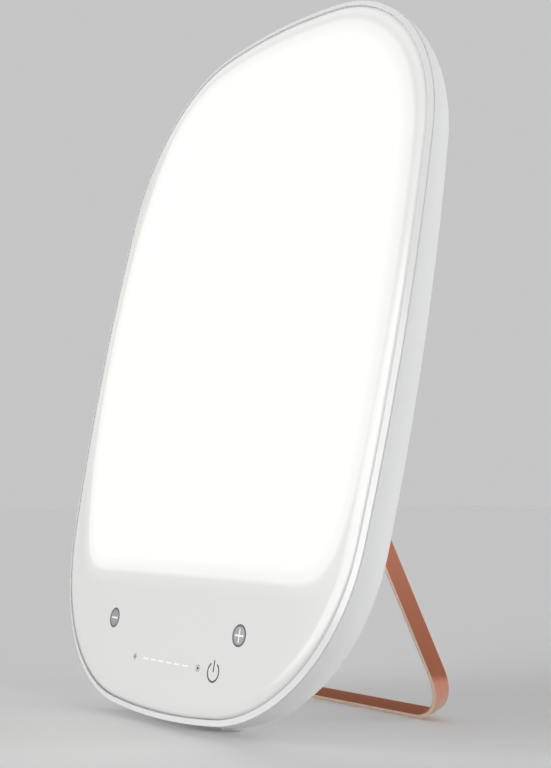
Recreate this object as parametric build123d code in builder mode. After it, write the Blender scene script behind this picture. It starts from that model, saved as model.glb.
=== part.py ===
from build123d import *
from math import asin, copysign, cos, degrees, radians, sin, sqrt
import os

os.makedirs("parts", exist_ok=True)

# ----------------------------------------------------------------------------
# Driving dimensions, in millimetres and degrees. Levels are measured up the
# panel from its lower edge, depths straight back from the crown's highest point.
# ----------------------------------------------------------------------------

# Front panel: a tall rounded shield, crowned both ways
panel_height = 385.0
panel_half_width = 142.3
side_radius = 1184.0
widest_level = 207.5
top_radius = 476.0
bottom_radius = 466.0
top_corner_radius = 98.0
bottom_corner_radius = 97.0
crown_rise_across = 5.7
crown_rise_along = 2.5
panel_thickness = 2.5
panel_edge_radius = 2.0
panel_gap = 0.3
panel_seat_play = 0.1

# Bezel ring between the panel and the rear cover
bezel_width = 2.95
bevel_drop = 0.83
bezel_rim = 0.7
skirt_clearance = 0.15
ledge_width = 8.0
ledge_thickness = 1.5
seam_gap = 0.25

# Rear cover
body_depth = 31.95
back_taper = 0.91
back_radius = 22.0
cover_wall = 1.8
rib_wall = 1.5
rib_height = 4.0
rib_levels = (112.0, 236.0, 316.0)
rib_half_spacing = 46.0
rib_end_room = 20.0
vent_count = 11
vent_pitch = 9.0
vent_length = 22.0
vent_width = 3.0
vent_level = 286.0

# How the lamp stands: lean of the panel, height and set-back of its lower edge
lean = 11.75
ground_gap = 7.4
panel_set_forward = 68.7

# Screws: shank, head and the clearance of a drilled hole
screw_radius = 1.45
screw_hole_play = 0.1
case_head_radius = 2.8
case_head_height = 2.0
case_seat_depth = 24.0
case_post_radius = 3.2
case_post_inset = 9.5
case_boss_wall = 1.5
head_well_play = 0.4
case_thread_length = 8.0

# Light unit: tray, strips, reflector frame and diffuser
tray_depth = 18.8
tray_thickness = 1.2
tray_inset = 5.5
frame_depth = 10.0
frame_inset = 14.5
frame_low_level = 66.0
frame_lip = 1.2
frame_corner_radius = 14.0
window_inset = 2.7
window_flare = 7.8
diffuser_thickness = 1.5
diffuser_play = 0.15
strip_width = 10.0
strip_thickness = 1.0
strip_low_level = 84.0
strip_side_room = 42.3
strip_counts = (13, 12, 11)
strip_top_room = (28.0, 49.0, 70.0)
led_size = 3.0
led_height = 0.8

# Touch controls on the panel
inlay_thickness = 0.4
disc_radius = 5.5
disc_half_spacing = 61.7
disc_level = 44.2
sign_length = 6.9
sign_width = 0.9
power_across = 45.0
power_level = 25.0
power_radius = 5.15
power_line = 0.95
power_gap_angle = 64.0
power_bar_length = 5.8
window_level = 25.5
window_count = 6
window_pitch = 7.75
window_length = 5.5
window_height = 0.9

# Control board behind the touch area
control_board_width = 150.0
control_board_height = 44.0
control_board_level = 36.0
control_board_depth = 12.0
board_thickness = 1.6
board_seat_inset = 5.0
spacer_width = 5.0
touch_pad_width = 7.0
guide_bar_width = 56.0
guide_bar_height = 5.0
guide_bar_thickness = 1.4
guide_leg_width = 3.0
guide_wall = 1.8
indicator_length = 3.3
indicator_height = 0.8
main_chip_size = 9.0
main_chip_level = 48.0
side_chip_width = 5.0
side_chip_height = 6.0
side_chip_across = 32.0
side_chip_level = 44.0
small_part_count = 7
small_part_pitch = 8.0
small_part_level = 35.0
small_part_width = 1.6
small_part_height = 0.9
chip_thickness = 1.0

# Driver board on the rear cover
driver_board_width = 118.0
driver_board_height = 42.0
driver_board_across = -4.0
driver_board_level = 46.0
driver_post_height = 3.0
driver_post_width = 5.5
inductor_size = 12.0
inductor_corner = 2.0
inductor_height = 4.6
inductor_places = ((-10.0, 38.0), (-28.0, 38.0))
capacitor_radius = 4.0
capacitor_height = 5.0
capacitor_places = ((-46.0, 49.0), (-46.0, 59.0), (38.0, 44.0))
heatsink_place = (16.0, 38.0)
heatsink_length = 26.0
heatsink_width = 12.0
heatsink_base = 1.2
heatsink_fin_count = 6
heatsink_fin_pitch = 5.0
heatsink_fin_width = 1.0
heatsink_fin_height = 3.6

# Inner leads
ribbon_across = 24.0
ribbon_level = 54.0
ribbon_width = 12.0
ribbon_thickness = 0.8
lead_slot_play = 1.6
lead_across = -34.0
lead_low_level = 60.0
lead_high_level = 80.0
lead_run_depth = 24.0
lead_width = 5.0
lead_thickness = 0.7
lead_bend_radius = 1.0
power_lead_rise = 1.4
power_lead_end = -59.0

# Power inlet in the rear cover
socket_side_room = 56.3
socket_level = 46.0
socket_flange_radius = 7.5
socket_flange_thickness = 1.2
socket_barrel_radius = 5.5
socket_barrel_length = 11.0
socket_bore_radius = 3.1
socket_bore_depth = 9.5
socket_pin_radius = 1.0
socket_pin_length = 8.0
socket_pin_round = 0.6
socket_nut_width = 14.0
socket_nut_thickness = 2.5
socket_play = 0.1
inner_pad = 1.4

# Stand: a bent metal strip hinged behind the panel
stand_lean = 19.3
hinge_level = 167.7
hinge_standoff = 7.7
stand_strip_width = 10.5
stand_strip_thickness = 2.2
stand_foot_half_width = 88.0
stand_ear_half_width = 56.0
stand_ear_length = 12.0
stand_corner_radius = 22.0
stand_ear_bend_radius = 30.0
stop_clearance = 0.05

# Hinge bracket and pins
bracket_half_length = 59.0
bracket_height = 24.0
bracket_plate = 1.6
bracket_corner_radius = 3.0
lug_thickness = 3.0
lug_radius = 5.6
pin_radius = 2.0
pin_play = 0.05
pin_head_radius = 4.0
pin_head_height = 1.4
pin_tail = 2.6
clip_radius = 3.8
clip_thickness = 0.7
clip_groove_depth = 0.45
washer_radius = 4.8
washer_thickness = 0.5
washer_play = 0.08
bracket_screw_across = 38.0
bracket_screw_rise = 6.5
bracket_screw_length = 8.0
bracket_screw_head_radius = 2.6
bracket_screw_head_height = 1.2
bracket_pad_width = 9.0
bracket_pad_height = 7.5

# Rubber front feet
foot_half_spacing = 33.0
foot_set_back = 27.0
foot_radius = 6.0
foot_edge_radius = 1.6
foot_peg_radius = 2.0
foot_peg_top = 9.5

# ----------------------------------------------------------------------------
# Directions, planes and shared forms of the lamp head
# ----------------------------------------------------------------------------

up_dir = Vector(0, sin(radians(lean)), cos(radians(lean)))
rear_dir = Vector(0, cos(radians(lean)), -sin(radians(lean)))
head_origin = Vector(0, -panel_set_forward, ground_gap)
head = Plane(origin=head_origin, x_dir=(1, 0, 0), z_dir=-rear_dir)
section = Plane(origin=head_origin, x_dir=rear_dir, z_dir=(1, 0, 0))

mid_level = panel_height / 2
back_lean = lean - back_taper
back_dir = Vector(0, cos(radians(back_lean)), -sin(radians(back_lean)))
head_middle = head_origin + up_dir * mid_level
back_origin = head_middle + rear_dir * body_depth
back = Plane(origin=back_origin, x_dir=(1, 0, 0), z_dir=-back_dir)
housing_frame = Plane(origin=head_middle - back.y_dir * mid_level, x_dir=(1, 0, 0), z_dir=-back_dir)

front_room = 3.0
deep = body_depth * 2
tray_rear = tray_depth + tray_thickness


def behind(depth):
    """Plane parallel to the front, the given depth behind the crown's highest point."""
    return head.offset(-depth)


def outline(plane, grow=0.0):
    """Panel outline on a plane, moved outward by grow all round."""
    side_centre = side_radius - panel_half_width
    with BuildSketch(plane) as shape:
        with Locations((0, panel_height - top_radius)):
            Circle(top_radius + grow)
        with Locations((0, bottom_radius)):
            Circle(bottom_radius + grow, mode=Mode.INTERSECT)
        for across in (side_centre, -side_centre):
            with Locations((across, widest_level)):
                Circle(side_radius + grow, mode=Mode.INTERSECT)
        fillet(shape.vertices().group_by(Axis.Y)[-1], top_corner_radius + grow)
        fillet(shape.vertices().group_by(Axis.Y)[0], bottom_corner_radius + grow)
    return shape.sketch


def lit_outline(plane, inset):
    """Outline of the light unit, moved inward by inset from the reflector frame's edge."""
    with BuildSketch(plane) as shape:
        add(outline(Plane.XY, -frame_inset - inset))
        with Locations((0, frame_low_level + inset)):
            Rectangle(
                2 * panel_half_width, panel_height, align=(Align.CENTER, Align.MIN), mode=Mode.INTERSECT
            )
        fillet(shape.vertices().group_by(Axis.Y)[0], frame_corner_radius)
    return shape.sketch


def crown(skin):
    """Everything behind the crowned front surface, starting the given skin below it."""
    along_radius = (mid_level**2 + crown_rise_along**2) / (2 * crown_rise_along)
    across_radius = (panel_half_width**2 + crown_rise_across**2) / (2 * crown_rise_across)
    reach = mid_level + front_room * 4
    sag = along_radius - sqrt(along_radius**2 - reach**2)
    sweep = 2 * degrees(asin((panel_half_width + front_room * 4) / across_radius))
    middle = Plane(origin=head_middle, x_dir=up_dir, z_dir=(-1, 0, 0))
    axis = Axis(middle.from_local_coords((0, skin + across_radius)), up_dir)
    with BuildPart() as block:
        with BuildSketch(middle):
            with BuildLine():
                ThreePointArc((-reach, skin + sag), (0, skin), (reach, skin + sag))
                Polyline(
                    (reach, skin + sag), (reach, skin + deep), (-reach, skin + deep), (-reach, skin + sag)
                )
            make_face()
        revolve(axis=axis, revolution_arc=sweep)
    return block.part.rotate(axis, -sweep / 2)


def housing_block(inset):
    """Solid of the rear housing's outer form, moved inward by inset."""
    with BuildPart() as block:
        extrude(outline(housing_frame.offset(front_room), bezel_width - inset), amount=-deep)
        split(bisect_by=back.offset(inset), keep=Keep.TOP)
        rear_face = block.faces().sort_by(Axis(back_origin, back_dir))[-1]
        fillet(rear_face.edges(), back_radius - inset)
    return block.part


def on_panel(sketch, skin, thickness):
    """Sketch in panel coordinates made into a sheet that follows the crown."""
    with BuildPart() as sheet:
        extrude(head.offset(front_room) * sketch, amount=-deep)
        add(crown(skin), mode=Mode.INTERSECT)
        add(crown(skin + thickness), mode=Mode.SUBTRACT)
    return sheet.part


housing_form = housing_block(0.0)
housing_hollow = housing_block(cover_wall)

# Screw places: the middle of each side and corner of the outline, but not of its top and bottom
case_middles = [edge @ 0.5 for edge in outline(Plane.XY, -case_post_inset).edges()]
case_points = [middle for middle in case_middles if abs(middle.X) > case_post_radius]

# Seats and hole places that several pieces share
board_rear = control_board_depth + board_thickness
board_seats = (control_board_width - 2 * board_seat_inset, control_board_height - 2 * board_seat_inset)
driver_seat = cover_wall + driver_post_height
driver_front = driver_seat + board_thickness
driver_centre = (driver_board_across, driver_board_level - mid_level)
driver_seats = (driver_board_width - 2 * board_seat_inset, driver_board_height - 2 * board_seat_inset)
socket_across = socket_side_room - panel_half_width
socket_centre = (socket_across, socket_level - mid_level)
socket_nut_seat = cover_wall + inner_pad
bracket_centre = (0, hinge_level - mid_level)
bracket_holes = (2 * bracket_screw_across, 2 * bracket_screw_rise)
foot_line = foot_set_back - panel_set_forward
foot_places = [(-foot_half_spacing, foot_line), (foot_half_spacing, foot_line)]

# ----------------------------------------------------------------------------
# Touch marks: thin inlays that lie flush in the panel
# ----------------------------------------------------------------------------

with BuildSketch() as minus_sketch:
    with Locations((-disc_half_spacing, disc_level)):
        Circle(disc_radius)

with BuildSketch() as plus_sketch:
    with Locations((disc_half_spacing, disc_level)):
        Circle(disc_radius)

with BuildSketch() as sign_sketch:
    with Locations((-disc_half_spacing, disc_level), (disc_half_spacing, disc_level)):
        Rectangle(sign_length, sign_width)
    with Locations((disc_half_spacing, disc_level)):
        Rectangle(sign_width, sign_length)

with BuildSketch() as power_sketch:
    with Locations((power_across, power_level)):
        Circle(power_radius)
        Circle(power_radius - power_line, mode=Mode.SUBTRACT)
    gap_side = 2 * power_radius * sin(radians(power_gap_angle / 2))
    gap_top = power_level + 2 * power_radius * cos(radians(power_gap_angle / 2))
    with BuildLine():
        Polyline(
            (power_across, power_level),
            (power_across + gap_side, gap_top),
            (power_across - gap_side, gap_top),
            close=True,
        )
    make_face(mode=Mode.SUBTRACT)
    with Locations((power_across, power_level)):
        Rectangle(power_line, power_bar_length, align=(Align.CENTER, Align.MIN))

with BuildSketch() as level_sketch:
    with Locations((0, window_level)):
        with GridLocations(window_pitch, 1, window_count, 1):
            Rectangle(window_length, window_height)

with BuildPart() as minus_touch_disc:
    add(on_panel(minus_sketch.sketch - sign_sketch.sketch, 0.0, inlay_thickness))

with BuildPart() as plus_touch_disc:
    add(on_panel(plus_sketch.sketch - sign_sketch.sketch, 0.0, inlay_thickness))

with BuildPart() as touch_signs:
    add(on_panel(sign_sketch.sketch, 0.0, inlay_thickness))

with BuildPart() as power_symbol:
    add(on_panel(power_sketch.sketch, 0.0, inlay_thickness))

with BuildPart() as level_windows:
    add(on_panel(level_sketch.sketch, 0.0, inlay_thickness))

# ----------------------------------------------------------------------------
# Front panel: one smooth opal sheet with a rounded edge
# ----------------------------------------------------------------------------

with BuildPart() as front_panel:
    extrude(outline(behind(-front_room), -panel_gap / 2), amount=-deep)
    add(crown(0.0), mode=Mode.INTERSECT)
    add(crown(panel_thickness - panel_seat_play), mode=Mode.SUBTRACT)
    fillet(front_panel.faces().sort_by(Axis(head_origin, rear_dir))[0].edges(), panel_edge_radius)
    for inlay in (minus_touch_disc, plus_touch_disc, touch_signs, power_symbol, level_windows):
        add(inlay.part, mode=Mode.SUBTRACT)

# ----------------------------------------------------------------------------
# Bezel ring: bevelled rim, ledge under the panel, skirt into the cover, posts
# ----------------------------------------------------------------------------

skirt_outer = bezel_width - cover_wall - skirt_clearance

with BuildPart() as panel_pocket:
    extrude(outline(behind(-front_room), panel_gap / 2), amount=-deep)
    add(crown(panel_thickness), mode=Mode.SUBTRACT)

with BuildPart() as skirt_block:
    extrude(outline(behind(-front_room), skirt_outer), amount=-deep)
    add(crown(bevel_drop), mode=Mode.INTERSECT)
    add(crown(panel_thickness + ledge_thickness), mode=Mode.SUBTRACT)

with BuildPart() as bezel_posts:
    with BuildSketch(behind(tray_depth)):
        with Locations(*[Location(point, (0, 0, 90 + copysign(90, point.X))) for point in case_points]):
            Circle(case_post_radius)
    extrude(amount=tray_depth)
    add(crown(panel_thickness + ledge_thickness / 2), mode=Mode.INTERSECT)

with BuildPart() as bezel_ring:
    extrude(outline(behind(-front_room), bezel_width), amount=-deep)
    add(crown(0.0), mode=Mode.INTERSECT)
    add(crown(bevel_drop + bezel_rim), mode=Mode.SUBTRACT)
    rim_face = bezel_ring.faces().sort_by(Axis(head_origin, rear_dir))[0]
    chamfer(
        rim_face.edges(),
        length=bezel_width - panel_gap,
        length2=bevel_drop,
        reference=rim_face,
    )
    add(skirt_block.part)
    add(panel_pocket.part, mode=Mode.SUBTRACT)
    extrude(outline(behind(-front_room), -ledge_width), amount=-deep, mode=Mode.SUBTRACT)
    add(bezel_posts.part)
    with BuildSketch(behind(tray_depth)):
        with Locations(*case_points):
            Circle(screw_radius + screw_hole_play / 2)
    extrude(amount=case_thread_length + screw_hole_play, mode=Mode.SUBTRACT)

# ----------------------------------------------------------------------------
# Rear cover: moulded shell with bosses, ribs, vents and recesses
# ----------------------------------------------------------------------------

with BuildPart() as cover_inside:
    case_boss_radius = case_head_radius + head_well_play + case_boss_wall
    with BuildSketch(behind(tray_rear)):
        with Locations(*case_points):
            Circle(case_boss_radius)
    extrude(amount=-deep)
    with BuildSketch(back.offset(driver_seat)):
        with Locations(driver_centre):
            with GridLocations(*driver_seats, 2, 2):
                Rectangle(driver_post_width, driver_post_width)
    extrude(amount=-deep)
    with BuildSketch(back.offset(cover_wall + bracket_pad_height)):
        with Locations(bracket_centre):
            with GridLocations(2 * bracket_screw_across, 1, 2, 1):
                Rectangle(bracket_pad_width, bracket_height)
    extrude(amount=-deep)
    with BuildSketch(back.offset(socket_nut_seat)):
        with Locations(bracket_centre):
            Rectangle(2 * bracket_half_length + 2 * cover_wall, bracket_height + 2 * cover_wall)
        with Locations(socket_centre):
            Circle(socket_flange_radius + 2 * cover_wall)
    extrude(amount=-deep)
    with BuildSketch(back.offset(cover_wall + rib_height)):
        for level in rib_levels:
            with Locations((0, level - mid_level)):
                Rectangle(2 * (panel_half_width - back_radius - rib_end_room), rib_wall)
        with Locations((0, (rib_levels[0] + rib_levels[-1]) / 2 - mid_level)):
            with GridLocations(2 * rib_half_spacing, 1, 2, 1):
                Rectangle(rib_wall, rib_levels[-1] - rib_levels[0])
    extrude(amount=-deep)
    add(housing_block(cover_wall / 2), mode=Mode.INTERSECT)

with BuildPart() as rear_cover:
    add(housing_form)
    add(housing_hollow, mode=Mode.SUBTRACT)
    add(crown(bevel_drop + bezel_rim + seam_gap), mode=Mode.INTERSECT)
    add(cover_inside.part)
    with BuildSketch(behind(case_seat_depth)):
        with Locations(*case_points):
            Circle(case_head_radius + head_well_play)
    extrude(amount=-deep, mode=Mode.SUBTRACT)
    with BuildSketch(behind(tray_rear)):
        with Locations(*case_points):
            Circle(screw_radius + screw_hole_play)
    extrude(amount=-deep, mode=Mode.SUBTRACT)
    with BuildSketch(back):
        with Locations((0, vent_level - mid_level)):
            with GridLocations(vent_pitch, 1, vent_count, 1):
                SlotOverall(vent_length, vent_width, rotation=90)
    extrude(amount=cover_wall * 2, both=True, mode=Mode.SUBTRACT)
    with BuildSketch(back):
        with Locations(bracket_centre):
            RectangleRounded(2 * bracket_half_length, bracket_height, bracket_corner_radius)
    extrude(amount=bracket_plate, mode=Mode.SUBTRACT)
    with BuildSketch(back):
        with Locations(socket_centre):
            Circle(socket_flange_radius + socket_play)
    extrude(amount=socket_flange_thickness, mode=Mode.SUBTRACT)
    with BuildSketch(back):
        with Locations(socket_centre):
            Circle(socket_barrel_radius + socket_play)
    extrude(amount=socket_nut_seat, mode=Mode.SUBTRACT)
    with BuildSketch(back):
        with Locations(bracket_centre):
            with GridLocations(*bracket_holes, 2, 2):
                Circle(screw_radius + screw_hole_play / 2)
    extrude(amount=bracket_screw_length + screw_hole_play, mode=Mode.SUBTRACT)
    with BuildSketch(Plane.XY):
        with Locations(*foot_places):
            Circle(foot_peg_radius)
    extrude(amount=foot_peg_top, mode=Mode.SUBTRACT)

# ----------------------------------------------------------------------------
# Case screws, from the back through cover and tray into the bezel's posts
# ----------------------------------------------------------------------------

with BuildPart() as case_screws:
    with BuildSketch(behind(case_seat_depth)):
        with Locations(*case_points):
            Circle(case_head_radius)
    extrude(amount=-case_head_height)
    with BuildSketch(behind(case_seat_depth)):
        with Locations(*case_points):
            Circle(screw_radius)
    extrude(amount=case_seat_depth - tray_depth + case_thread_length)

# ----------------------------------------------------------------------------
# Light unit
# ----------------------------------------------------------------------------

with BuildPart() as led_tray:
    extrude(outline(behind(tray_depth), -tray_inset), amount=-tray_thickness)
    with BuildSketch(behind(tray_depth)):
        with Locations(*case_points):
            Circle(screw_radius + screw_hole_play)
        with Locations((ribbon_across, ribbon_level)):
            Rectangle(ribbon_width + 2 * lead_slot_play, ribbon_thickness + 2 * lead_slot_play)
    extrude(amount=-tray_thickness, mode=Mode.SUBTRACT)

with BuildPart() as reflector_frame:
    extrude(lit_outline(behind(frame_depth), 0.0), amount=-(tray_depth - frame_depth))
    extrude(lit_outline(behind(frame_depth), frame_lip), amount=-diffuser_thickness, mode=Mode.SUBTRACT)
    with BuildSketch(behind(frame_depth + diffuser_thickness)):
        add(lit_outline(Plane.XY, window_inset))
    with BuildSketch(behind(tray_depth)):
        add(lit_outline(Plane.XY, window_inset + window_flare))
    loft(mode=Mode.SUBTRACT)

with BuildPart() as diffuser_sheet:
    extrude(lit_outline(behind(frame_depth), frame_lip + diffuser_play), amount=-diffuser_thickness)

strip_pitch = 2 * (panel_half_width - strip_side_room) / (2 * len(strip_counts) - 1)
strips = [
    ((column + 0.5) * strip_pitch, count, panel_height - room - strip_low_level)
    for column, (count, room) in enumerate(zip(strip_counts, strip_top_room))
]

with BuildPart() as led_strips:
    with BuildSketch(behind(tray_depth - strip_thickness)):
        for across, count, length in strips:
            with Locations((across, strip_low_level), (-across, strip_low_level)):
                Rectangle(strip_width, length, align=(Align.CENTER, Align.MIN))
    extrude(amount=-strip_thickness)

with BuildPart() as led_chips:
    with BuildSketch(behind(tray_depth - strip_thickness)):
        for across, count, length in strips:
            with Locations((0, strip_low_level + length / 2)):
                with GridLocations(2 * across, length / count, 2, count):
                    Rectangle(led_size, led_size)
    extrude(amount=led_height)

# ----------------------------------------------------------------------------
# Control board on its spacers, with its chips, touch pads and light guides
# ----------------------------------------------------------------------------

with BuildPart() as control_board:
    with BuildSketch(behind(control_board_depth)):
        with Locations((0, control_board_level)):
            Rectangle(control_board_width, control_board_height)
    extrude(amount=-board_thickness)

with BuildPart() as board_spacers:
    with BuildSketch(behind(board_rear)):
        with Locations((0, control_board_level)):
            with GridLocations(*board_seats, 2, 2):
                Rectangle(spacer_width, spacer_width)
    extrude(amount=-(tray_depth - board_rear))

with BuildPart() as touch_pads:
    with BuildSketch(behind(control_board_depth)):
        with Locations(
            (-disc_half_spacing, disc_level), (disc_half_spacing, disc_level), (power_across, power_level)
        ):
            Rectangle(touch_pad_width, touch_pad_width)
    extrude(amount=control_board_depth)
    add(crown(panel_thickness), mode=Mode.INTERSECT)

with BuildPart() as indicator_leds:
    with BuildSketch(behind(control_board_depth)):
        with Locations((0, window_level)):
            with GridLocations(window_pitch, 1, window_count, 1):
                Rectangle(indicator_length, guide_wall)
    extrude(amount=indicator_height)

with BuildPart() as level_light_guides:
    guide_rear = control_board_depth - indicator_height
    with BuildSketch(behind(guide_rear)):
        with Locations((0, window_level)):
            with GridLocations(window_pitch, 1, window_count, 1):
                Rectangle(window_length, guide_wall)
    extrude(amount=guide_rear)
    add(crown(panel_thickness), mode=Mode.INTERSECT)
    with BuildSketch(behind(guide_rear)):
        with Locations((0, window_level)):
            Rectangle(guide_bar_width, guide_bar_height)
    extrude(amount=guide_bar_thickness)
    with BuildSketch(behind(control_board_depth)):
        with Locations((0, window_level)):
            with GridLocations(guide_bar_width - guide_leg_width, 1, 2, 1):
                Rectangle(guide_leg_width, guide_bar_height)
    extrude(amount=indicator_height + guide_bar_thickness)

with BuildPart() as control_chips:
    with BuildSketch(behind(control_board_depth)):
        with Locations((0, main_chip_level)):
            Rectangle(main_chip_size, main_chip_size)
        with Locations((-side_chip_across, side_chip_level), (side_chip_across, side_chip_level)):
            Rectangle(side_chip_width, side_chip_height)
        with Locations((0, small_part_level)):
            with GridLocations(small_part_pitch, 1, small_part_count, 1):
                Rectangle(small_part_width, small_part_height)
    extrude(amount=chip_thickness)

# ----------------------------------------------------------------------------
# Driver board with its components
# ----------------------------------------------------------------------------

with BuildPart() as driver_board:
    with BuildSketch(back.offset(driver_seat)):
        with Locations(driver_centre):
            Rectangle(driver_board_width, driver_board_height)
    extrude(amount=board_thickness)

with BuildPart() as driver_inductors:
    with BuildSketch(back.offset(driver_front)):
        with Locations(*[(across, level - mid_level) for across, level in inductor_places]):
            RectangleRounded(inductor_size, inductor_size, inductor_corner)
    extrude(amount=inductor_height)

with BuildPart() as driver_capacitors:
    with BuildSketch(back.offset(driver_front)):
        with Locations(*[(across, level - mid_level) for across, level in capacitor_places]):
            Circle(capacitor_radius)
    extrude(amount=capacitor_height)

with BuildPart() as driver_heatsink:
    heatsink_centre = (heatsink_place[0], heatsink_place[1] - mid_level)
    with BuildSketch(back.offset(driver_front)):
        with Locations(heatsink_centre):
            Rectangle(heatsink_length, heatsink_width)
    extrude(amount=heatsink_base)
    with BuildSketch(back.offset(driver_front + heatsink_base)):
        with Locations(heatsink_centre):
            with GridLocations(heatsink_fin_pitch, 1, heatsink_fin_count, 1):
                Rectangle(heatsink_fin_width, heatsink_width)
    extrude(amount=heatsink_fin_height)

# ----------------------------------------------------------------------------
# Power inlet
# ----------------------------------------------------------------------------

with BuildPart() as dc_socket:
    with BuildSketch(back):
        with Locations(socket_centre):
            Circle(socket_flange_radius)
    extrude(amount=socket_flange_thickness)
    with BuildSketch(back):
        with Locations(socket_centre):
            Circle(socket_barrel_radius)
    extrude(amount=socket_barrel_length)
    with BuildSketch(back):
        with Locations(socket_centre):
            Circle(socket_bore_radius)
    extrude(amount=socket_bore_depth, mode=Mode.SUBTRACT)

with BuildPart() as dc_contact:
    with BuildSketch(back.offset(socket_bore_depth)):
        with Locations(socket_centre):
            Circle(socket_pin_radius)
    extrude(amount=-socket_pin_length)
    fillet(dc_contact.faces().sort_by(Axis(back_origin, back_dir))[-1].edges(), socket_pin_round)

with BuildPart() as socket_nut:
    with BuildSketch(back.offset(socket_nut_seat)):
        with Locations(socket_centre):
            RegularPolygon(socket_nut_width / 2, 6, major_radius=False)
            Circle(socket_barrel_radius, mode=Mode.SUBTRACT)
    extrude(amount=socket_nut_thickness)

# ----------------------------------------------------------------------------
# Inner leads: a ribbon between the two boards, a lead to the tray, a lead to
# the power inlet
# ----------------------------------------------------------------------------

with BuildPart() as ribbon_cable:
    with BuildSketch(behind(board_rear)):
        with Locations((ribbon_across, ribbon_level)):
            Rectangle(ribbon_width, ribbon_thickness)
    extrude(amount=-deep)
    split(bisect_by=back.offset(driver_front), keep=Keep.TOP)

with BuildPart() as led_lead:
    with BuildSketch(section.offset(lead_across)):
        with BuildLine():
            FilletPolyline(
                (body_depth, lead_low_level),
                (lead_run_depth, lead_low_level),
                (lead_run_depth, lead_high_level),
                (tray_rear, lead_high_level),
                radius=lead_bend_radius,
            )
        trace(line_width=lead_thickness)
    extrude(amount=lead_width / 2, both=True)
    split(bisect_by=back.offset(driver_front), keep=Keep.TOP)

with BuildPart() as power_lead:
    lead_plane_origin = back.from_local_coords((0, socket_level - mid_level, 0))
    lead_run = socket_barrel_length + power_lead_rise
    with BuildSketch(Plane(origin=lead_plane_origin, x_dir=(1, 0, 0), z_dir=back.y_dir)):
        with BuildLine():
            FilletPolyline(
                (socket_across, -socket_barrel_length),
                (socket_across, -lead_run),
                (power_lead_end, -lead_run),
                (power_lead_end, -driver_front),
                radius=lead_bend_radius,
            )
        trace(line_width=lead_thickness)
    extrude(amount=lead_width / 2, both=True)

# ----------------------------------------------------------------------------
# Stand: hinge line, strip loop and its bearings
# ----------------------------------------------------------------------------

hinge_point = back.from_local_coords((0, hinge_level - mid_level, -hinge_standoff))
hinge_side = Plane(origin=hinge_point, x_dir=(0, 1, 0), z_dir=(1, 0, 0))
stand_up = Vector(0, -sin(radians(stand_lean)), cos(radians(stand_lean)))
stand_front = Vector(0, -cos(radians(stand_lean)), -sin(radians(stand_lean)))
stand_plane = Plane(origin=hinge_point, x_dir=(1, 0, 0), z_dir=stand_front)
stand_angle = stand_lean + back_lean
stand_drop = (hinge_point.Z - stand_strip_width / 2 * sin(radians(stand_lean))) / cos(radians(stand_lean))
heel_reach = (
    hinge_standoff - stop_clearance - stand_strip_width / 2 * cos(radians(stand_angle))
) / sin(radians(stand_angle))
ear_inner = stand_ear_half_width - stand_strip_thickness
lug_outer = ear_inner - washer_thickness - 2 * washer_play
lug_inner = lug_outer - lug_thickness

with BuildPart() as stand_frame:
    with BuildSketch(stand_plane) as loop:
        with BuildLine():
            Polyline(
                (-stand_ear_half_width, heel_reach),
                (-stand_ear_half_width, -stand_ear_length),
                (-stand_foot_half_width, -stand_drop),
                (stand_foot_half_width, -stand_drop),
                (stand_ear_half_width, -stand_ear_length),
                (stand_ear_half_width, heel_reach),
                close=True,
            )
        make_face()
        fillet(loop.vertices().group_by(Axis.Y)[0], stand_corner_radius)
        fillet(loop.vertices().group_by(Axis.Y)[-2], stand_ear_bend_radius)
        offset(amount=-stand_strip_thickness, mode=Mode.SUBTRACT)
        with Locations((0, heel_reach)):
            Rectangle(2 * ear_inner, 2 * stand_strip_thickness, mode=Mode.SUBTRACT)
    extrude(amount=stand_strip_width / 2, both=True)
    with BuildSketch(hinge_side):
        Circle(pin_radius)
    extrude(amount=stand_foot_half_width, both=True, mode=Mode.SUBTRACT)

with BuildPart() as hinge_pins:
    with BuildSketch(hinge_side.offset(lug_inner - pin_tail)):
        Circle(pin_radius)
    extrude(amount=stand_ear_half_width - lug_inner + pin_tail)
    with BuildSketch(hinge_side.offset(stand_ear_half_width)):
        Circle(pin_head_radius)
    extrude(amount=pin_head_height)
    with BuildSketch(hinge_side.offset(lug_inner - washer_play)):
        Circle(pin_radius)
        Circle(pin_radius - clip_groove_depth, mode=Mode.SUBTRACT)
    extrude(amount=-clip_thickness, mode=Mode.SUBTRACT)
    mirror(about=Plane.YZ)

with BuildPart() as pin_clips:
    with BuildSketch(hinge_side.offset(lug_inner - washer_play)):
        Circle(clip_radius)
        Circle(pin_radius - clip_groove_depth, mode=Mode.SUBTRACT)
        with Locations((0, clip_radius)):
            Rectangle(pin_radius, 2 * clip_radius, mode=Mode.SUBTRACT)
    extrude(amount=-clip_thickness)
    mirror(about=Plane.YZ)

with BuildPart() as hinge_washers:
    with BuildSketch(hinge_side.offset(lug_outer + washer_play)):
        Circle(washer_radius)
        Circle(pin_radius + pin_play, mode=Mode.SUBTRACT)
    extrude(amount=washer_thickness)
    mirror(about=Plane.YZ)

with BuildPart() as hinge_bracket:
    with BuildSketch(back):
        with Locations(bracket_centre):
            RectangleRounded(2 * bracket_half_length, bracket_height, bracket_corner_radius)
            with GridLocations(*bracket_holes, 2, 2):
                Circle(screw_radius + screw_hole_play, mode=Mode.SUBTRACT)
    extrude(amount=bracket_plate)
    with BuildSketch(Plane(origin=hinge_point, x_dir=back.y_dir, z_dir=(1, 0, 0)).offset(lug_inner)):
        Circle(lug_radius)
        Rectangle(2 * lug_radius, hinge_standoff + bracket_plate / 2, align=(Align.CENTER, Align.MIN))
        Circle(pin_radius + pin_play, mode=Mode.SUBTRACT)
    extrude(amount=lug_thickness)
    mirror(about=Plane.YZ)

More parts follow.
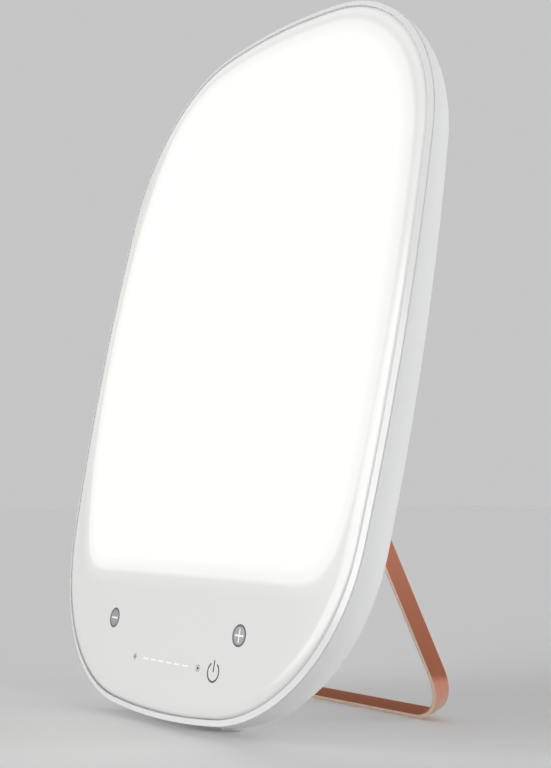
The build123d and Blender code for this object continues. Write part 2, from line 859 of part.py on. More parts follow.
with BuildPart() as bracket_screws:
    with BuildSketch(back):
        with Locations(bracket_centre):
            with GridLocations(*bracket_holes, 2, 2):
                Circle(bracket_screw_head_radius)
    extrude(amount=-bracket_screw_head_height)
    with BuildSketch(back):
        with Locations(bracket_centre):
            with GridLocations(*bracket_holes, 2, 2):
                Circle(screw_radius)
    extrude(amount=bracket_screw_length)

# ----------------------------------------------------------------------------
# Rubber feet, shaped to the underside of the cover
# ----------------------------------------------------------------------------

with BuildPart() as front_feet:
    with BuildSketch(Plane.XY):
        with Locations(*foot_places):
            Circle(foot_radius)
    extrude(amount=foot_peg_top)
    fillet(front_feet.edges().group_by(Axis.Z)[0], foot_edge_radius)
    add(housing_form, mode=Mode.SUBTRACT)
    with BuildSketch(Plane.XY):
        with Locations(*foot_places):
            Circle(foot_peg_radius)
    extrude(amount=foot_peg_top)

for name, part in (
    ("rear_cover", rear_cover),
    ("bezel_ring", bezel_ring),
    ("front_panel", front_panel),
    ("minus_touch_disc", minus_touch_disc),
    ("plus_touch_disc", plus_touch_disc),
    ("touch_signs", touch_signs),
    ("power_symbol", power_symbol),
    ("level_windows", level_windows),
    ("case_screws", case_screws),
    ("led_tray", led_tray),
    ("reflector_frame", reflector_frame),
    ("diffuser_sheet", diffuser_sheet),
    ("led_strips", led_strips),
    ("led_chips", led_chips),
    ("control_board", control_board),
    ("board_spacers", board_spacers),
    ("touch_pads", touch_pads),
    ("indicator_leds", indicator_leds),
    ("level_light_guides", level_light_guides),
    ("control_chips", control_chips),
    ("driver_board", driver_board),
    ("driver_inductors", driver_inductors),
    ("driver_capacitors", driver_capacitors),
    ("driver_heatsink", driver_heatsink),
    ("dc_socket", dc_socket),
    ("dc_contact", dc_contact),
    ("socket_nut", socket_nut),
    ("ribbon_cable", ribbon_cable),
    ("led_lead", led_lead),
    ("power_lead", power_lead),
    ("stand_frame", stand_frame),
    ("hinge_pins", hinge_pins),
    ("pin_clips", pin_clips),
    ("hinge_washers", hinge_washers),
    ("hinge_bracket", hinge_bracket),
    ("bracket_screws", bracket_screws),
    ("front_feet", front_feet),
):
    part.part.label = name
    export_step(part.part, f"parts/{name}.step")
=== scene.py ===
from math import atan, cos, pi, radians, sin, tan

import bmesh
import bpy
from mathutils import Matrix, Vector


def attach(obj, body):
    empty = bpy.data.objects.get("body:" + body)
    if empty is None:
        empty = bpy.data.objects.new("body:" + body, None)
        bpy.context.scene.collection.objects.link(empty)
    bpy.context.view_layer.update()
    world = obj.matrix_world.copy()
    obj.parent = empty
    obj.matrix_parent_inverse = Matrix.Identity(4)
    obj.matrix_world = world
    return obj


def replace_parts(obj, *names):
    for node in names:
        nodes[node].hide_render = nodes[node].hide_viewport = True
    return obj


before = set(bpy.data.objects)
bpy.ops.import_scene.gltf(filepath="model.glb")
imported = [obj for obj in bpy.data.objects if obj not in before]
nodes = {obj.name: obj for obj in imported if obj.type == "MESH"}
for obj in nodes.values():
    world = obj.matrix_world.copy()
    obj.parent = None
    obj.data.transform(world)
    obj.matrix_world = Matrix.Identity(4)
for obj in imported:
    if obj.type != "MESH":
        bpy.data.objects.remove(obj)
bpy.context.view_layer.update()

# ----------------------------------------------------------------------------
# Viewpoint: from the lamp's right front, a little over the table, looking
# slightly up at the leaning panel.
# ----------------------------------------------------------------------------
view_place = (0.58718, -0.41508, 0.114095)
view_azimuth = radians(54.16)
view_rise = radians(-5.21)
view_right = Vector((cos(view_azimuth), sin(view_azimuth), 0))
view_up = Vector((-sin(view_azimuth) * sin(view_rise), cos(view_azimuth) * sin(view_rise), cos(view_rise)))
camera_data = bpy.data.cameras.new("view")
camera_data.lens = 60.94
camera_data.sensor_width = 36
camera = bpy.data.objects.new("view", camera_data)
bpy.context.scene.collection.objects.link(camera)
view_turn = Matrix((view_right, view_up, view_right.cross(view_up))).transposed().to_4x4()
camera.matrix_world = Matrix.Translation(view_place) @ view_turn
bpy.context.scene.camera = camera

# ----------------------------------------------------------------------------
# Rear cover: one injection-moulded white shell with a fine satin skin, vents,
# screw wells and the recess for the hinge bracket.
# ----------------------------------------------------------------------------
# How deep the relief of every finish on the lamp goes
relief_depth = 0.0002


def new_material(name, roughness=0.5, metallic=0.0, coat=0.0):
    """A node material with its Principled shader, ready for a piece's own pattern."""
    material = bpy.data.materials.new(name)
    material.use_nodes = True
    shader = material.node_tree.nodes["Principled BSDF"]
    shader.inputs["Roughness"].default_value = roughness
    shader.inputs["Metallic"].default_value = metallic
    shader.inputs["Coat Weight"].default_value = coat
    return material, material.node_tree, shader


def number(tree, operation, *values):
    """One Math node; each input is a number or another node's output."""
    node = tree.nodes.new("ShaderNodeMath")
    node.operation = operation
    for socket, value in zip(node.inputs, values):
        if isinstance(value, (int, float)):
            socket.default_value = value
        else:
            tree.links.new(value, socket)
    return node.outputs[0]


def vector(tree, operation, first, second=(0, 0, 0)):
    """One Vector Math node; each input is a fixed vector or another node's output."""
    node = tree.nodes.new("ShaderNodeVectorMath")
    node.operation = operation
    for socket, value in zip(node.inputs, (first, second)):
        if isinstance(value, bpy.types.NodeSocket):
            tree.links.new(value, socket)
        else:
            socket.default_value = value
    return node.outputs["Value" if operation in ("DOT_PRODUCT", "LENGTH") else "Vector"]


def sockets(group, inputs, outputs):
    """Names a group's inputs, with their usual values, and its outputs."""
    kinds = {"Colour": "NodeSocketColor", "Across": "NodeSocketVector"}
    for name, value in inputs:
        kind = kinds.get(name, "NodeSocketFloat")
        group.interface.new_socket(name, in_out="INPUT", socket_type=kind).default_value = value
    for name in outputs:
        group.interface.new_socket(name, in_out="OUTPUT", socket_type=kinds.get(name, "NodeSocketFloat"))
    return group.nodes.new("NodeGroupInput").outputs, group.nodes.new("NodeGroupOutput").inputs


def toned(tree, colour, change):
    """A colour made lighter or darker by a small change."""
    node = tree.nodes.new("ShaderNodeVectorMath")
    node.operation = "SCALE"
    tree.links.new(colour, node.inputs[0])
    tree.links.new(number(tree, "ADD", change, 1), node.inputs["Scale"])
    return node.outputs[0]


skin = bpy.data.node_groups.new("moulded skin", "ShaderNodeTree")
skin_in, skin_out = sockets(
    skin,
    (("Colour", (1, 1, 1, 1)), ("Grain per mm", 1.4), ("Mottle", 0.03), ("Gloss", 0.3),
     ("Gloss change", 0.08)),
    ("Colour", "Roughness", "Height"),
)
spot = skin.nodes.new("ShaderNodeTexCoord").outputs["Object"]
grain = skin.nodes.new("ShaderNodeTexNoise")
grain.inputs["Detail"].default_value = 3
skin.links.new(spot, grain.inputs["Vector"])
skin.links.new(number(skin, "MULTIPLY", skin_in["Grain per mm"], 1000), grain.inputs["Scale"])
cloud = skin.nodes.new("ShaderNodeTexNoise")
cloud.inputs["Scale"].default_value = 28
cloud.inputs["Detail"].default_value = 2
skin.links.new(spot, cloud.inputs["Vector"])
uneven = number(skin, "MULTIPLY", number(skin, "SUBTRACT", cloud.outputs["Fac"], 0.5), skin_in["Mottle"])
skin.links.new(toned(skin, skin_in["Colour"], uneven), skin_out["Colour"])
skin.links.new(
    number(skin, "MULTIPLY_ADD", grain.outputs["Fac"], skin_in["Gloss change"], skin_in["Gloss"]),
    skin_out["Roughness"],
)
skin.links.new(grain.outputs["Fac"], skin_out["Height"])


def finish(tree, shader, group, values, bump):
    """Feeds a finish's colour, roughness and relief into a material's shader."""
    node = tree.nodes.new("ShaderNodeGroup")
    node.node_tree = group
    for name, value in values.items():
        node.inputs[name].default_value = value
    relief = tree.nodes.new("ShaderNodeBump")
    relief.inputs["Strength"].default_value = bump
    relief.inputs["Distance"].default_value = relief_depth
    tree.links.new(node.outputs["Colour"], shader.inputs["Base Color"])
    tree.links.new(node.outputs["Roughness"], shader.inputs["Roughness"])
    tree.links.new(node.outputs["Height"], relief.inputs["Height"])
    tree.links.new(relief.outputs["Normal"], shader.inputs["Normal"])
    return relief


def skinned(name, colour, grain_per_mm=1.4, mottle=0.03, gloss=0.3, gloss_change=0.08, bump=0.05,
            metallic=0.0, coat=0.0):
    """Plastic, paint, plating or rubber: a faint mottle, uneven gloss and a fine grain in relief."""
    material, tree, shader = new_material(name, metallic=metallic, coat=coat)
    values = {"Colour": (*colour, 1), "Grain per mm": grain_per_mm, "Mottle": mottle, "Gloss": gloss,
              "Gloss change": gloss_change}
    finish(tree, shader, skin, values, bump)
    return material


def dress(node, material):
    """Gives a carried-over solid its finish."""
    slots = nodes[node].data.materials
    slots.clear()
    slots.append(material)


dress("rear_cover", skinned("cover white", (0.85, 0.855, 0.86), grain_per_mm=2.2, gloss=0.34, bump=0.08))

# ----------------------------------------------------------------------------
# Driver board: a green circuit board on moulded posts, with two inductors,
# three capacitors and a small finned heat sink soldered to it.
# ----------------------------------------------------------------------------
board_green = skinned("board green", (0.02, 0.14, 0.06), grain_per_mm=0.9, mottle=0.5, bump=0.1)
dress("driver_board", board_green)
dress("driver_inductors", skinned("ferrite", (0.03, 0.03, 0.032), grain_per_mm=3, mottle=0.3, gloss=0.5,
                                  bump=0.3))
dress("driver_capacitors", skinned("capacitor can", (0.55, 0.56, 0.58), grain_per_mm=1, gloss=0.22,
                                   metallic=1.0))
dress("driver_heatsink", skinned("raw aluminium", (0.63, 0.64, 0.66), grain_per_mm=4, gloss=0.35, bump=0.2,
                                 metallic=1.0))

# ----------------------------------------------------------------------------
# Light unit: a painted steel tray with six rows of small warm white lamps, a
# white frame that throws the light forward, and a frosted sheet.
# ----------------------------------------------------------------------------
dress("led_tray", skinned("tray paint", (0.80, 0.80, 0.80), grain_per_mm=1.2, gloss=0.4, bump=0.1))
dress("led_strips", skinned("strip board", (0.80, 0.82, 0.80), grain_per_mm=0.8, mottle=0.1, gloss=0.35))
dress("led_chips", skinned("phosphor", (0.85, 0.70, 0.12), grain_per_mm=3, mottle=0.2, gloss=0.3, bump=0.2))
dress("reflector_frame", skinned("reflector white", (0.88, 0.88, 0.87), grain_per_mm=1.8, gloss=0.5, bump=0.1))
dress("diffuser_sheet", skinned("frosted sheet", (0.90, 0.90, 0.87), grain_per_mm=5, gloss=0.6, bump=0.2))

# ----------------------------------------------------------------------------
# Touch electronics: a circuit board on nylon spacers, foam pads that carry the
# touch to the panel, a clear guide for the level lights, and the inner leads.
# ----------------------------------------------------------------------------
nylon = skinned("nylon", (0.70, 0.69, 0.64), grain_per_mm=1.5, gloss=0.4)
dress("control_board", board_green)
dress("board_spacers", nylon)
dress("touch_pads", skinned("foam", (0.03, 0.03, 0.032), grain_per_mm=2.5, mottle=0.5, gloss=0.8, bump=0.8))
dress("indicator_leds", skinned("indicator lens", (0.85, 0.80, 0.55), grain_per_mm=2, gloss=0.25))
dress("level_light_guides", skinned("clear guide", (0.80, 0.84, 0.86), grain_per_mm=1, gloss=0.12))
dress("control_chips", skinned("chip black", (0.012, 0.012, 0.014), grain_per_mm=3, gloss=0.45, bump=0.2))
dress("ribbon_cable", skinned("ribbon grey", (0.28, 0.28, 0.30), grain_per_mm=1, mottle=0.3, gloss=0.45))
lead_black = skinned("lead black", (0.015, 0.015, 0.016), grain_per_mm=2, gloss=0.4, bump=0.2)
dress("led_lead", lead_black)
dress("power_lead", lead_black)

# ----------------------------------------------------------------------------
# Bezel ring: the glossy white rim that holds the panel, moulded in one piece
# with a narrow bevel round the front.
# ----------------------------------------------------------------------------
dress("bezel_ring", skinned("bezel white", (0.81, 0.81, 0.81), grain_per_mm=1.2, mottle=0.02, gloss=0.16,
                            gloss_change=0.05, bump=0.02, coat=0.1))

# ----------------------------------------------------------------------------
# Front panel: one smooth opal sheet. Behind its upper part the light unit
# glows through evenly; the touch area below stays a pale grey, and the edge
# rolls off softly all round.
# ----------------------------------------------------------------------------
lean = radians(11.75)
panel_low = Vector((0, -0.0687, 0.0074))
panel_up = Vector((0, sin(lean), cos(lean)))
panel_rear = Vector((0, cos(lean), -sin(lean)))
# Circles of the outline and of the lit zone on the right half: middle across, middle up, radius (mm)
top_circle = (0, -91, 476)
side_circle = (-1041.7, 207.5, 1184)
low_circle = (0, 466, 466)
top_corner = (41.552, 284.709, 98)
low_corner = (39.888, 99.162, 97)
glow_side = (-212.9, 210.6, 355.2)
glow_shift = 5
glow_inset = 6.5
glow_low = 69.5
glow_corner = 28
# Tones over the distance past an edge, or over the level, in millimetres
glow_tones = (
    (-12, (0.955, 0.95, 0.91)), (-3, (0.80, 0.795, 0.77)), (1, (0.40, 0.40, 0.39)), (8, (0.0, 0.0, 0.0)),
)
unlit_tones = (
    (-12, (0.03, 0.03, 0.03)), (-3, (0.14, 0.14, 0.14)), (1, (0.48, 0.48, 0.48)), (8, (1.0, 1.0, 1.0)),
)
rim_tones = ((-8, (0.0, 0.0, 0.0)), (-1, (0.12, 0.12, 0.118)))
pad_area_tones = ((20, (0.0, 0.0, 0.0)), (110, (1.0, 1.0, 1.0)))
roll_width = 8
roll_per_square_mm = -0.02

place = bpy.data.node_groups.new("panel place", "ShaderNodeTree")
place_out = sockets(place, (), ("Sideways", "Level", "Edge", "Lit edge"))[1]
spot = place.nodes.new("ShaderNodeTexCoord").outputs["Object"]
offset = vector(place, "SUBTRACT", spot, panel_low)
level = vector(place, "DOT_PRODUCT", offset, panel_up * 1000)


def on_panel(shift):
    """A point's place on the panel, with left and right folded over a line off its middle."""
    aside = number(place, "SUBTRACT", vector(place, "DOT_PRODUCT", offset, (1000, 0, 0)), shift)
    flat = place.nodes.new("ShaderNodeCombineXYZ")
    place.links.new(number(place, "ABSOLUTE", aside), flat.inputs["X"])
    place.links.new(level, flat.inputs["Y"])
    return flat.outputs[0]


def beyond(circle, point):
    """How far outside a circle a point of the panel lies, in millimetres."""
    reach = vector(place, "SUBTRACT", point, (circle[0], circle[1], 0))
    return number(place, "SUBTRACT", vector(place, "LENGTH", reach), circle[2])


def rounded(distance, point, corner, first, second):
    """The distance with one corner rounded, between the two circles that meet in it."""
    centre = Vector((corner[0], corner[1], 0))
    arm = vector(place, "SUBTRACT", point, centre)
    low_side = (centre - Vector((first[0], first[1], 0))).normalized()
    high_side = (centre - Vector((second[0], second[1], 0))).normalized()
    past_low = vector(place, "DOT_PRODUCT", arm, (-low_side.y, low_side.x, 0))
    past_high = vector(place, "DOT_PRODUCT", arm, (high_side.y, -high_side.x, 0))
    within = number(place, "GREATER_THAN", number(place, "MINIMUM", past_low, past_high), 0)
    difference = number(place, "SUBTRACT", beyond(corner, point), distance)
    return number(place, "MULTIPLY_ADD", difference, within, distance)


point = on_panel(0)
edge = number(place, "MAXIMUM", beyond(top_circle, point), beyond(side_circle, point))
edge = number(place, "MAXIMUM", edge, beyond(low_circle, point))
edge = rounded(edge, point, top_corner, side_circle, top_circle)
edge = rounded(edge, point, low_corner, low_circle, side_circle)
lit_sides = beyond(glow_side, on_panel(glow_shift))
lit_sides = number(place, "SMOOTH_MAX", number(place, "ADD", edge, glow_inset), lit_sides, glow_corner / 2)
lit_edge = number(place, "SMOOTH_MAX", lit_sides, number(place, "SUBTRACT", glow_low, level), glow_corner)
sideways = place.nodes.new("ShaderNodeSeparateXYZ")
place.links.new(point, sideways.inputs[0])
place.links.new(sideways.outputs["X"], place_out["Sideways"])
place.links.new(level, place_out["Level"])
place.links.new(edge, place_out["Edge"])
place.links.new(lit_edge, place_out["Lit edge"])


def placed(tree):
    """The panel's own coordinates, in millimetres, for one material."""
    node = tree.nodes.new("ShaderNodeGroup")
    node.node_tree = place
    return node.outputs


def ramp(tree, value, stops):
    """A smooth change of colour over stops of (value, colour)."""
    low, high = stops[0][0], stops[-1][0]
    spread = tree.nodes.new("ShaderNodeMapRange")
    spread.inputs["From Min"].default_value = low
    spread.inputs["From Max"].default_value = high
    tree.links.new(value, spread.inputs["Value"])
    node = tree.nodes.new("ShaderNodeValToRGB")
    node.color_ramp.interpolation = "EASE"
    while len(node.color_ramp.elements) < len(stops):
        node.color_ramp.elements.new(0.5)
    for element, (stop, colour) in zip(node.color_ramp.elements, stops):
        element.position = (stop - low) / (high - low)
        element.color = (*colour, 1)
    tree.links.new(spread.outputs["Result"], node.inputs["Fac"])
    return node.outputs["Color"]


def shaded(tree, shader, tone):
    """Multiplies the colour that a shader has been given so far by a tone."""
    colour = vector(tree, "MULTIPLY", shader.inputs["Base Color"].links[0].from_socket, tone)
    tree.links.new(colour, shader.inputs["Base Color"])


opal, tree, shader = new_material("opal panel", coat=0.15)
opal_values = {"Colour": (0.77, 0.765, 0.755, 1), "Grain per mm": 0.7, "Mottle": 0.012, "Gloss": 0.16,
               "Gloss change": 0.03}
relief = finish(tree, shader, skin, opal_values, bump=0.01)
panel = placed(tree)
glow = ramp(tree, panel["Lit edge"], glow_tones)
shaded(tree, shader, ramp(tree, panel["Lit edge"], unlit_tones))
above_pads = ramp(tree, panel["Level"], pad_area_tones)
rim_glow = vector(tree, "MULTIPLY", ramp(tree, panel["Edge"], rim_tones), above_pads)
tree.links.new(vector(tree, "ADD", glow, rim_glow), shader.inputs["Emission Color"])
shader.inputs["Emission Strength"].default_value = 1
over = number(tree, "MAXIMUM", number(tree, "ADD", panel["Edge"], roll_width), 0)
roll = tree.nodes.new("ShaderNodeBump")
roll.inputs["Strength"].default_value = 1
roll.inputs["Distance"].default_value = 0.001
fall = number(tree, "MULTIPLY", number(tree, "MULTIPLY", over, over), roll_per_square_mm)
tree.links.new(fall, roll.inputs["Height"])
tree.links.new(roll.outputs["Normal"], relief.inputs["Normal"])
dress("front_panel", opal)

# ----------------------------------------------------------------------------
# Touch marks: thin printed inlays. Two metallic grey discs with a darker rim
# carry white signs; the power sign and the two small suns are dark grey, and
# the level windows between the suns are white.
# ----------------------------------------------------------------------------
disc_place = (61.7, 44.2)
disc_rim = 4.75
disc_tones = (
    (disc_rim - 0.5, (1.0, 1.0, 1.0)), (disc_rim, (0.3, 0.3, 0.3)), (disc_rim + 0.5, (0.22, 0.22, 0.22)),
)
# Suns: across and up the panel in millimetres, and size
sun_places = ((-31.3, 25.5, 1.0), (31.3, 25.5, 1.1))
sun_core = 0.0007
sun_core_sides = 16
sun_rays = 8
sun_ray = (0.0006, 0.00045)
sun_ray_reach = 0.0014
sun_proud = 0.00003
sun_depth = 0.00012
# The panel's crown: its radius across and along, and the level of its highest point
crown_across = 1.779
crown_along = 7.412
crown_level = 0.1925

disc_grey, tree, shader = new_material("disc grey", metallic=0.35)
disc_values = {"Colour": (0.36, 0.365, 0.37, 1), "Grain per mm": 5, "Mottle": 0.1, "Gloss": 0.26,
               "Gloss change": 0.1}
finish(tree, shader, skin, disc_values, bump=0.06)
panel = placed(tree)
aside = number(tree, "SUBTRACT", panel["Sideways"], disc_place[0])
above = number(tree, "SUBTRACT", panel["Level"], disc_place[1])
square = number(tree, "MULTIPLY_ADD", aside, aside, number(tree, "MULTIPLY", above, above))
shaded(tree, shader, ramp(tree, number(tree, "SQRT", square), disc_tones))
dress("minus_touch_disc", disc_grey)
dress("plus_touch_disc", disc_grey)
dress("touch_signs", skinned("sign white", (0.90, 0.91, 0.92), grain_per_mm=3, gloss=0.35))
sign_grey = skinned("sign grey", (0.045, 0.047, 0.05), grain_per_mm=3, gloss=0.4)
dress("power_symbol", sign_grey)
dress("level_windows", skinned("window white", (0.95, 0.95, 0.95), grain_per_mm=3, gloss=0.3))


def moved(items):
    """The vertices among the items that an operator has made."""
    return [item for item in items if isinstance(item, bmesh.types.BMVert)]


def as_piece(name, mesh_data, body, slot, *materials):
    """Turns a finished bmesh into a piece of the lamp that rides on one of its bodies."""
    bmesh.ops.recalc_face_normals(mesh_data, faces=mesh_data.faces)
    mesh = bpy.data.meshes.new(name)
    mesh_data.to_mesh(mesh)
    mesh_data.free()
    for material in materials:
        mesh.materials.append(material)
    piece = bpy.data.objects.new(name, mesh)
    bpy.context.scene.collection.objects.link(piece)
    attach(piece, body)
    return piece


suns = bmesh.new()
for sideways, level, size in sun_places:
    one = bmesh.new()
    bmesh.ops.create_circle(one, cap_ends=True, segments=sun_core_sides, radius=sun_core)
    for ray in range(sun_rays):
        turn = Matrix.Rotation(ray * 2 * pi / sun_rays, 4, "Z") @ Matrix.Translation((sun_ray_reach, 0, 0))
        bmesh.ops.create_grid(one, x_segments=1, y_segments=1, size=0.5,
                              matrix=turn @ Matrix.Diagonal((*sun_ray, 1, 1)))
    walls = bmesh.ops.extrude_face_region(one, geom=one.faces[:])["geom"]
    bmesh.ops.translate(one, verts=moved(walls), vec=(0, 0, -sun_depth))
    x, up = sideways / 1000, level / 1000
    sag = x**2 / (2 * crown_across) + (up - crown_level) ** 2 / (2 * crown_along)
    east = (Vector((1, 0, 0)) + panel_rear * x / crown_across).normalized()
    north = (panel_up + panel_rear * (up - crown_level) / crown_along).normalized()
    outward = east.cross(north)
    middle = panel_low + Vector((x, 0, 0)) + panel_up * up + panel_rear * sag + outward * sun_proud
    turn = Matrix((east, north, outward)).transposed().to_4x4()
    bmesh.ops.transform(one, verts=one.verts,
                        matrix=Matrix.Translation(middle) @ turn @ Matrix.Scale(size, 4))
    mesh = bpy.data.meshes.new("one sun")
    one.to_mesh(mesh)
    one.free()
    suns.from_mesh(mesh)
    bpy.data.meshes.remove(mesh)
as_piece("sun_marks", suns, "head", "symbol_grey", sign_grey)

# ----------------------------------------------------------------------------
# Screws: six pan heads in the wells of the cover and four on the hinge
# bracket, plated steel with a cross recess.
# ----------------------------------------------------------------------------
# Each head: its radius, its height and the shank's length; each place: a head's top, right of the middle
shank_radius = 0.00145
case_head = (0.0028, 0.0020, 0.0132)
case_places = (
    (0.132679, -0.004419, 0.188770), (0.105339, 0.027227, 0.340910), (0.102021, -0.035597, 0.038872),
)
bracket_head = (0.0026, 0.0012, 0.0080)
bracket_places = ((0.038, -0.002926, 0.158393), (0.038, -0.000481, 0.171161))
# The head's form, as shares of its radius or height
head_sides = 24
crest_share = 0.78
brow_share = 1.2
brow_drop = 0.16
rim_drop = 0.24
side_drop = 0.6
recess_share = 1.15
recess_depth = 0.6
back_tilt = radians(10.84)
back_out = Vector((0, cos(back_tilt), -sin(back_tilt)))
plated_steel = skinned("plated steel", (0.55, 0.55, 0.56), grain_per_mm=3, mottle=0.1, gloss=0.24,
                       gloss_change=0.15, bump=0.1, metallic=1.0)


def stepped(mesh_data, rim, factor, drop):
    """Carries a round rim on: one more ring, scaled about the axis and set lower."""
    ring = bmesh.ops.extrude_edge_only(mesh_data, edges=rim)["geom"]
    bmesh.ops.scale(mesh_data, verts=moved(ring), vec=(factor, factor, 1))
    bmesh.ops.translate(mesh_data, verts=moved(ring), vec=(0, 0, -drop))
    return [item for item in ring if isinstance(item, bmesh.types.BMEdge)]


def screw(head_radius, head_height, shank_length):
    """One pan head screw with its head's top at the origin, pointing down."""
    one = bmesh.new()
    recess = head_radius * recess_share
    bmesh.ops.create_grid(one, x_segments=3, y_segments=3, size=recess / 2)
    middles = [(face, face.calc_center_median()) for face in one.faces]
    corners = [face for face, middle in middles if min(abs(middle.x), abs(middle.y)) > recess / 6]
    bmesh.ops.delete(one, geom=corners, context="FACES")
    top = one.faces[:]
    floor = bmesh.ops.extrude_face_region(one, geom=top)["geom"]
    bmesh.ops.translate(one, verts=moved(floor), vec=(0, 0, -head_height * recess_depth))
    bmesh.ops.delete(one, geom=[face for face in top if face.is_valid], context="FACES_ONLY")
    bmesh.ops.delete(one, geom=[item for item in one.edges if not item.link_faces], context="EDGES")
    rim = [item for item in one.edges if len(item.link_faces) == 1]
    crest = head_radius * crest_share
    ring = bmesh.ops.create_circle(one, cap_ends=False, segments=head_sides, radius=crest)["verts"]
    outer = [item for item in one.edges if not item.link_faces and item.verts[0] in ring]
    bmesh.ops.bridge_loops(one, edges=rim + outer)
    ring = stepped(one, outer, brow_share, head_height * brow_drop)
    ring = stepped(one, ring, head_radius / (crest * brow_share), head_height * rim_drop)
    ring = stepped(one, ring, 1, head_height * side_drop)
    ring = stepped(one, ring, shank_radius / head_radius, 0)
    ring = stepped(one, ring, 1, shank_length)
    bmesh.ops.holes_fill(one, edges=ring)
    bmesh.ops.recalc_face_normals(one, faces=one.faces)
    mesh = bpy.data.meshes.new("one screw")
    one.to_mesh(mesh)
    one.free()
    return mesh


def screws(name, node, sizes, places, out):
    """A set of equal screws, left and right, that stands for its plain solid."""
    mesh = screw(*sizes)
    right = Vector((1, 0, 0))
    turn = Matrix((right, out.cross(right), out)).transposed().to_4x4()
    together = bmesh.new()
    for point in places:
        for side in (1, -1):
            known = len(together.verts)
            together.from_mesh(mesh)
            together.verts.ensure_lookup_table()
            spot = Matrix.Translation((side * point[0], point[1], point[2]))
            bmesh.ops.transform(together, verts=together.verts[known:], matrix=spot @ turn)
    bpy.data.meshes.remove(mesh)
    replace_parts(as_piece(name, together, "head", "screw_steel", plated_steel), node)


screws("case_screw_set", "case_screws", case_head, case_places, panel_rear)
screws("bracket_screw_set", "bracket_screws", bracket_head, bracket_places, back_out)

# ----------------------------------------------------------------------------
# Power inlet in the back of the cover: a black moulded socket with a plated
# centre pin, held by a nut.
# ----------------------------------------------------------------------------
dress("dc_socket", skinned("socket black", (0.012, 0.012, 0.013), grain_per_mm=2, gloss=0.4, bump=0.2))
dress("dc_contact", skinned("contact plating", (0.72, 0.66, 0.50), grain_per_mm=2, gloss=0.2, metallic=1.0))
dress("socket_nut", skinned("nut plating", (0.60, 0.60, 0.61), grain_per_mm=2, gloss=0.3, metallic=1.0))

# ----------------------------------------------------------------------------
# Hinge: a bracket of brushed and lacquered steel screwed into the cover, steel
# pins with nylon washers, and spring clips.
# ----------------------------------------------------------------------------
# How far a brushed line's tone holds along it, against across it
streak = 0.04
brushed = bpy.data.node_groups.new("brushed metal", "ShaderNodeTree")
brush_in, brush_out = sockets(
    brushed,
    (("Colour", (1, 1, 1, 1)), ("Across", (0, 0, 1)), ("Lines per mm", 6.0), ("Line tone", 0.1),
     ("Gloss", 0.3), ("Gloss change", 0.15)),
    ("Colour", "Roughness", "Height"),
)
spot = brushed.nodes.new("ShaderNodeTexCoord").outputs["Object"]
spot = vector(brushed, "MULTIPLY", spot, (1000, 1000, 1000))
run = vector(brushed, "MULTIPLY", spot, (streak, streak, streak))
reach = vector(brushed, "DOT_PRODUCT", spot, brush_in["Across"])
reach = number(brushed, "MULTIPLY", reach, brush_in["Lines per mm"])
along = brushed.nodes.new("ShaderNodeVectorMath")
along.operation = "SCALE"
brushed.links.new(brush_in["Across"], along.inputs[0])
brushed.links.new(reach, along.inputs["Scale"])
lines = brushed.nodes.new("ShaderNodeTexNoise")
lines.inputs["Scale"].default_value = 1
lines.inputs["Detail"].default_value = 4
lines.inputs["Roughness"].default_value = 0.65
brushed.links.new(vector(brushed, "ADD", run, along.outputs[0]), lines.inputs["Vector"])
change = number(brushed, "SUBTRACT", lines.outputs["Fac"], 0.5)
lined = number(brushed, "MULTIPLY", change, brush_in["Line tone"])
brushed.links.new(toned(brushed, brush_in["Colour"], lined), brush_out["Colour"])
brushed.links.new(
    number(brushed, "MULTIPLY_ADD", change, brush_in["Gloss change"], brush_in["Gloss"]), brush_out["Roughness"]
)
brushed.links.new(lines.outputs["Fac"], brush_out["Height"])


def brushed_metal(name, colour, across, lines_per_mm=6.0, line_tone=0.3, gloss=0.3, gloss_change=0.2,
                  bump=0.1, metallic=1.0):
    """Metal with fine lines left by brushing, all one way; also gives its node tree and shader."""
    material, tree, shader = new_material(name, metallic=metallic)
    values = {"Colour": (*colour, 1), "Across": across, "Lines per mm": lines_per_mm, "Line tone": line_tone,
              "Gloss": gloss, "Gloss change": gloss_change}
    finish(tree, shader, brushed, values, bump)
    return material, tree, shader


back_up = (0, sin(back_tilt), cos(back_tilt))
dress("hinge_bracket", brushed_metal("bracket steel", (0.66, 0.66, 0.65), back_up)[0])
dress("hinge_pins", plated_steel)
dress("pin_clips", plated_steel)
dress("hinge_washers", nylon)

# ----------------------------------------------------------------------------
# Stand: one flat steel strip bent into a loop, copper plated. Its faces are
# brushed along the strip. The inner face is a darker copy of the copper, a painted
# shade. The outer face carries painted reflections, brightest round the bends at its
# foot. Its edges are broken and polished, in a lighter copper that also paints in their highlight.
# ----------------------------------------------------------------------------
# Sizes in millimetres in the stand's own plane, across and up from the hinge
strip_width = 10.5
strip_thickness = 2.2
strip_break = 0.32
foot_reach = (88.0, -171.455)
ear_reach = (56.0, -12.0)
ear_top = 6.194
loop_middle = Vector((0, -90.0, 0))
foot_bend = 22.0
ear_bend = 30.0
bend_steps = 14
break_steps = 2
edge_facing = 0.2
sharp_angle = radians(28)
merge_distance = 0.001
# Colour of the outer face by height over the table, in metres: the copper's hue with painted reflections,
# bright round the bends at the foot and darker above
copper_hue_and_painted_reflection_tones = (
    (0.002, (1.0, 0.70, 0.50)), (0.02, (1.0, 0.46, 0.33)),
    (0.026, (0.56, 0.20, 0.12)), (0.13, (0.84, 0.34, 0.22)),
)
copper_tint = (0.85, 0.68, 0.6, 1)
face_brushing = {"lines_per_mm": 5.0, "line_tone": 0.5, "gloss": 0.34, "gloss_change": 0.25, "bump": 0.15}
edge_polish = {"lines_per_mm": 2.0, "line_tone": 0.1, "gloss": 0.16, "gloss_change": 0.08, "bump": 0.02}
stand_lean = radians(19.3)
hinge_point = Vector((0, 0.004680, 0.163554))
stand_up = Vector((0, -sin(stand_lean), cos(stand_lean)))
stand_front = Vector((0, -cos(stand_lean), -sin(stand_lean)))

